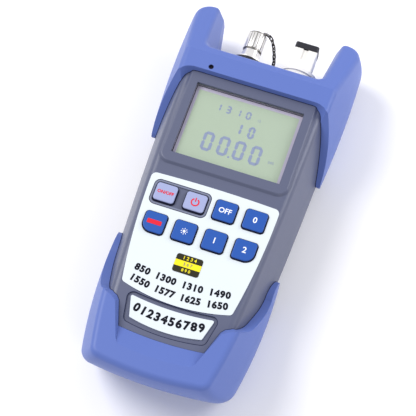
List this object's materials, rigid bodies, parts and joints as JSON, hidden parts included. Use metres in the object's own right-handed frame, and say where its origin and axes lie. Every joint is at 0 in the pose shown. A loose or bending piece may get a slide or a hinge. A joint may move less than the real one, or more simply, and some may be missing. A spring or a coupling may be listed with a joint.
{
  "type": "handheld optical power meter",
  "caption": "Handheld optical power meter with a screen, rubber keys, two capped fibre ports and blue rubber boots on both ends.",
  "frame": {"origin": "middle of the bounding box's underside; the meter lies on its back", "axes": "+Z out of the keypad, +Y toward the ports, +X to the right of the keypad"},
  "size_m": [0.0914, 0.2001, 0.046],
  "materials": {
    "housing": "blue-grey moulded case, satin gloss",
    "rear_case": "blue-grey moulded case, satin gloss",
    "boot": "soft blue rubber, matt",
    "overlay": "white printed film",
    "plate": "white printed plate",
    "sticker": "black and yellow film",
    "blue_key": "blue silicone rubber",
    "pale_key": "pale lilac silicone rubber",
    "pane": "clear window",
    "panel": "grey-green liquid crystal",
    "backlight": "white light guide",
    "black_plastic": "black moulding",
    "strip_rubber": "conductive rubber strip",
    "board": "green circuit board",
    "steel": "zinc-plated steel",
    "nickel": "nickel-plated brass",
    "ceramic": "white zirconia sleeve",
    "lamp": "clear lilac lamp",
    "cell": "dark metal can",
    "push_body": "off-white plastic"
  },
  "bodies": {
    "meter": {"front_housing": "housing", "rear_housing": "rear_case", "upper_boot": "boot", "lower_boot": "boot", "keypad_overlay": "overlay", "lower_label": "plate", "inspection_sticker": "sticker", "screen_pane": "pane", "screen_panel": "panel", "screen_backlight": "backlight", "screen_holder": "black_plastic", "screen_strip_upper": "strip_rubber", "screen_strip_lower": "strip_rubber", "main_board": "board", "controller_chip": "black_plastic", "board_connectors": "black_plastic", "key_switches": "black_plastic", "indicator_lamp": "lamp", "board_screws": "steel", "case_screws": "steel", "port_panel": "steel", "laser_module": "steel", "photodiode": "steel", "screw_port_base": "black_plastic", "screw_adapter": "nickel", "screw_port_sleeve": "ceramic", "port_nut": "nickel", "chain_washer": "nickel", "cap_chain": "steel", "push_port_base": "push_body", "push_adapter": "push_body", "push_port_sleeve": "ceramic", "battery_1": "cell", "battery_2": "cell", "battery_3": "cell", "battery_contacts": "steel"},
    "battery_door": {"battery_door": "rear_case"},
    "cap_swivel": {"cap_swivel": "nickel"},
    "screw_cap": {"screw_cap": "nickel"},
    "push_dust_cap": {"push_dust_cap": "black_plastic"},
    "key_laser": {"key_laser": "pale_key"},
    "key_power": {"key_power": "pale_key"},
    "key_auto_off": {"key_auto_off": "blue_key"},
    "key_zero": {"key_zero": "blue_key"},
    "key_relative": {"key_relative": "blue_key"},
    "key_light": {"key_light": "blue_key"},
    "key_db": {"key_db": "blue_key"},
    "key_wavelength": {"key_wavelength": "blue_key"}
  },
  "joints": [
    {"name": "key_laser_press", "type": "slide", "parent": "meter", "child": "key_laser", "axis": [0, 0, -1], "range_m": [0, 0.0008], "stiffness_N_per_m": 1500},
    {"name": "key_power_press", "type": "slide", "parent": "meter", "child": "key_power", "axis": [0, 0, -1], "range_m": [0, 0.0008], "stiffness_N_per_m": 1500},
    {"name": "key_auto_off_press", "type": "slide", "parent": "meter", "child": "key_auto_off", "axis": [0, 0, -1], "range_m": [0, 0.0008], "stiffness_N_per_m": 1500},
    {"name": "key_zero_press", "type": "slide", "parent": "meter", "child": "key_zero", "axis": [0, 0, -1], "range_m": [0, 0.0008], "stiffness_N_per_m": 1500},
    {"name": "key_relative_press", "type": "slide", "parent": "meter", "child": "key_relative", "axis": [0, 0, -1], "range_m": [0, 0.0008], "stiffness_N_per_m": 1500},
    {"name": "key_light_press", "type": "slide", "parent": "meter", "child": "key_light", "axis": [0, 0, -1], "range_m": [0, 0.0008], "stiffness_N_per_m": 1500},
    {"name": "key_db_press", "type": "slide", "parent": "meter", "child": "key_db", "axis": [0, 0, -1], "range_m": [0, 0.0008], "stiffness_N_per_m": 1500},
    {"name": "key_wavelength_press", "type": "slide", "parent": "meter", "child": "key_wavelength", "axis": [0, 0, -1], "range_m": [0, 0.0008], "stiffness_N_per_m": 1500},
    {"name": "screw_cap_pull", "type": "slide", "parent": "meter", "child": "cap_swivel", "axis": [0, 1, 0], "range_m": [0, 0.014], "deforming": ["cap_chain"]},
    {"name": "screw_cap_turn", "type": "hinge", "parent": "cap_swivel", "child": "screw_cap", "pos_m": [-0.0105, 0.09, 0.0225], "axis": [0, 1, 0], "continuous": true},
    {"name": "dust_cap_pull", "type": "slide", "parent": "meter", "child": "push_dust_cap", "axis": [0, 1, 0], "range_m": [0, 0.06]},
    {"name": "battery_door_lift", "type": "slide", "parent": "meter", "child": "battery_door", "axis": [0, 0, -1], "range_m": [0, 0.02]}
  ]
}
